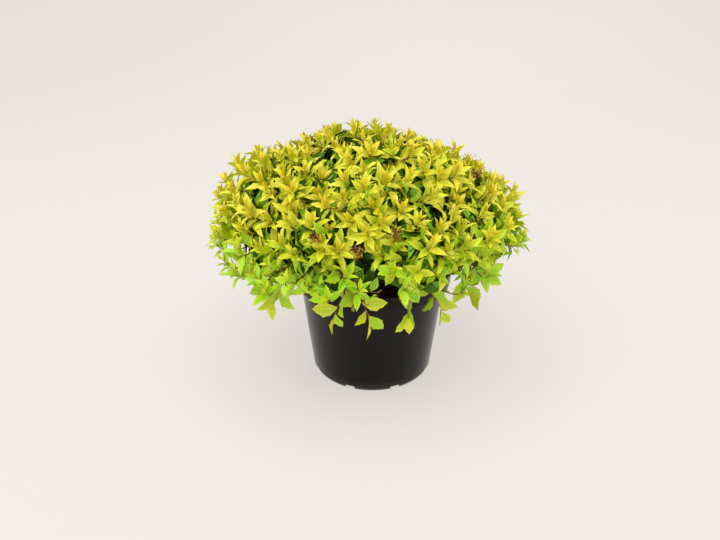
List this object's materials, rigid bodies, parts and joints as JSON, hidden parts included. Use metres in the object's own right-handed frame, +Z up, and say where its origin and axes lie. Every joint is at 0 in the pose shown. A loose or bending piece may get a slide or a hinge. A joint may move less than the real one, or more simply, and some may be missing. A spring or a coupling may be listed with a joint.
{
  "type": "potted golden spirea shrub",
  "caption": "Compact rounded flowering shrub with golden foliage on many thin canes, growing in a round tapered plastic nursery pot.",
  "frame": {"origin": "centre of the pot's flat underside, on the surface that the pot stands on", "axes": "+Z up along the pot's axis, -Y towards the front of the picture, +X to the right of the picture"},
  "size_m": [0.3705, 0.3752, 0.3048],
  "materials": {
    "pot_plastic": "satin black moulded plastic",
    "compost": "rough dark brown peat and bark",
    "bark": "thin red-brown bark",
    "golden_leaf": "soft satin golden leaf",
    "lime_leaf": "soft satin lime green leaf"
  },
  "bodies": {
    "root": {"cane_middle_1": "bark", "cane_middle_2": "bark", "cane_middle_3": "bark", "cane_middle_4": "bark", "cane_middle_5": "bark", "cane_middle_6": "bark", "cane_middle_7": "bark", "cane_middle_8": "bark", "cane_skirt_1": "bark", "cane_skirt_2": "bark", "cane_skirt_3": "bark", "cane_skirt_4": "bark", "cane_skirt_5": "bark", "cane_skirt_6": "bark", "cane_skirt_7": "bark", "cane_skirt_8": "bark", "cane_skirt_9": "bark", "cane_top": "bark", "cane_upper_1": "bark", "cane_upper_2": "bark", "cane_upper_3": "bark", "cane_upper_4": "bark", "cane_upper_5": "bark", "foliage_middle_1": "golden_leaf", "foliage_middle_2": "golden_leaf", "foliage_middle_3": "golden_leaf", "foliage_middle_4": "golden_leaf", "foliage_middle_5": "golden_leaf", "foliage_middle_6": "golden_leaf", "foliage_middle_7": "golden_leaf", "foliage_middle_8": "golden_leaf", "foliage_skirt_1": "lime_leaf", "foliage_skirt_2": "lime_leaf", "foliage_skirt_3": "lime_leaf", "foliage_skirt_4": "lime_leaf", "foliage_skirt_5": "lime_leaf", "foliage_skirt_6": "lime_leaf", "foliage_skirt_7": "lime_leaf", "foliage_skirt_8": "lime_leaf", "foliage_skirt_9": "lime_leaf", "foliage_top": "golden_leaf", "foliage_upper_1": "golden_leaf", "foliage_upper_2": "golden_leaf", "foliage_upper_3": "golden_leaf", "foliage_upper_4": "golden_leaf", "foliage_upper_5": "golden_leaf", "pot": "pot_plastic", "potting_compost": "compost", "stem_base": "bark"}
  },
  "joints": []
}
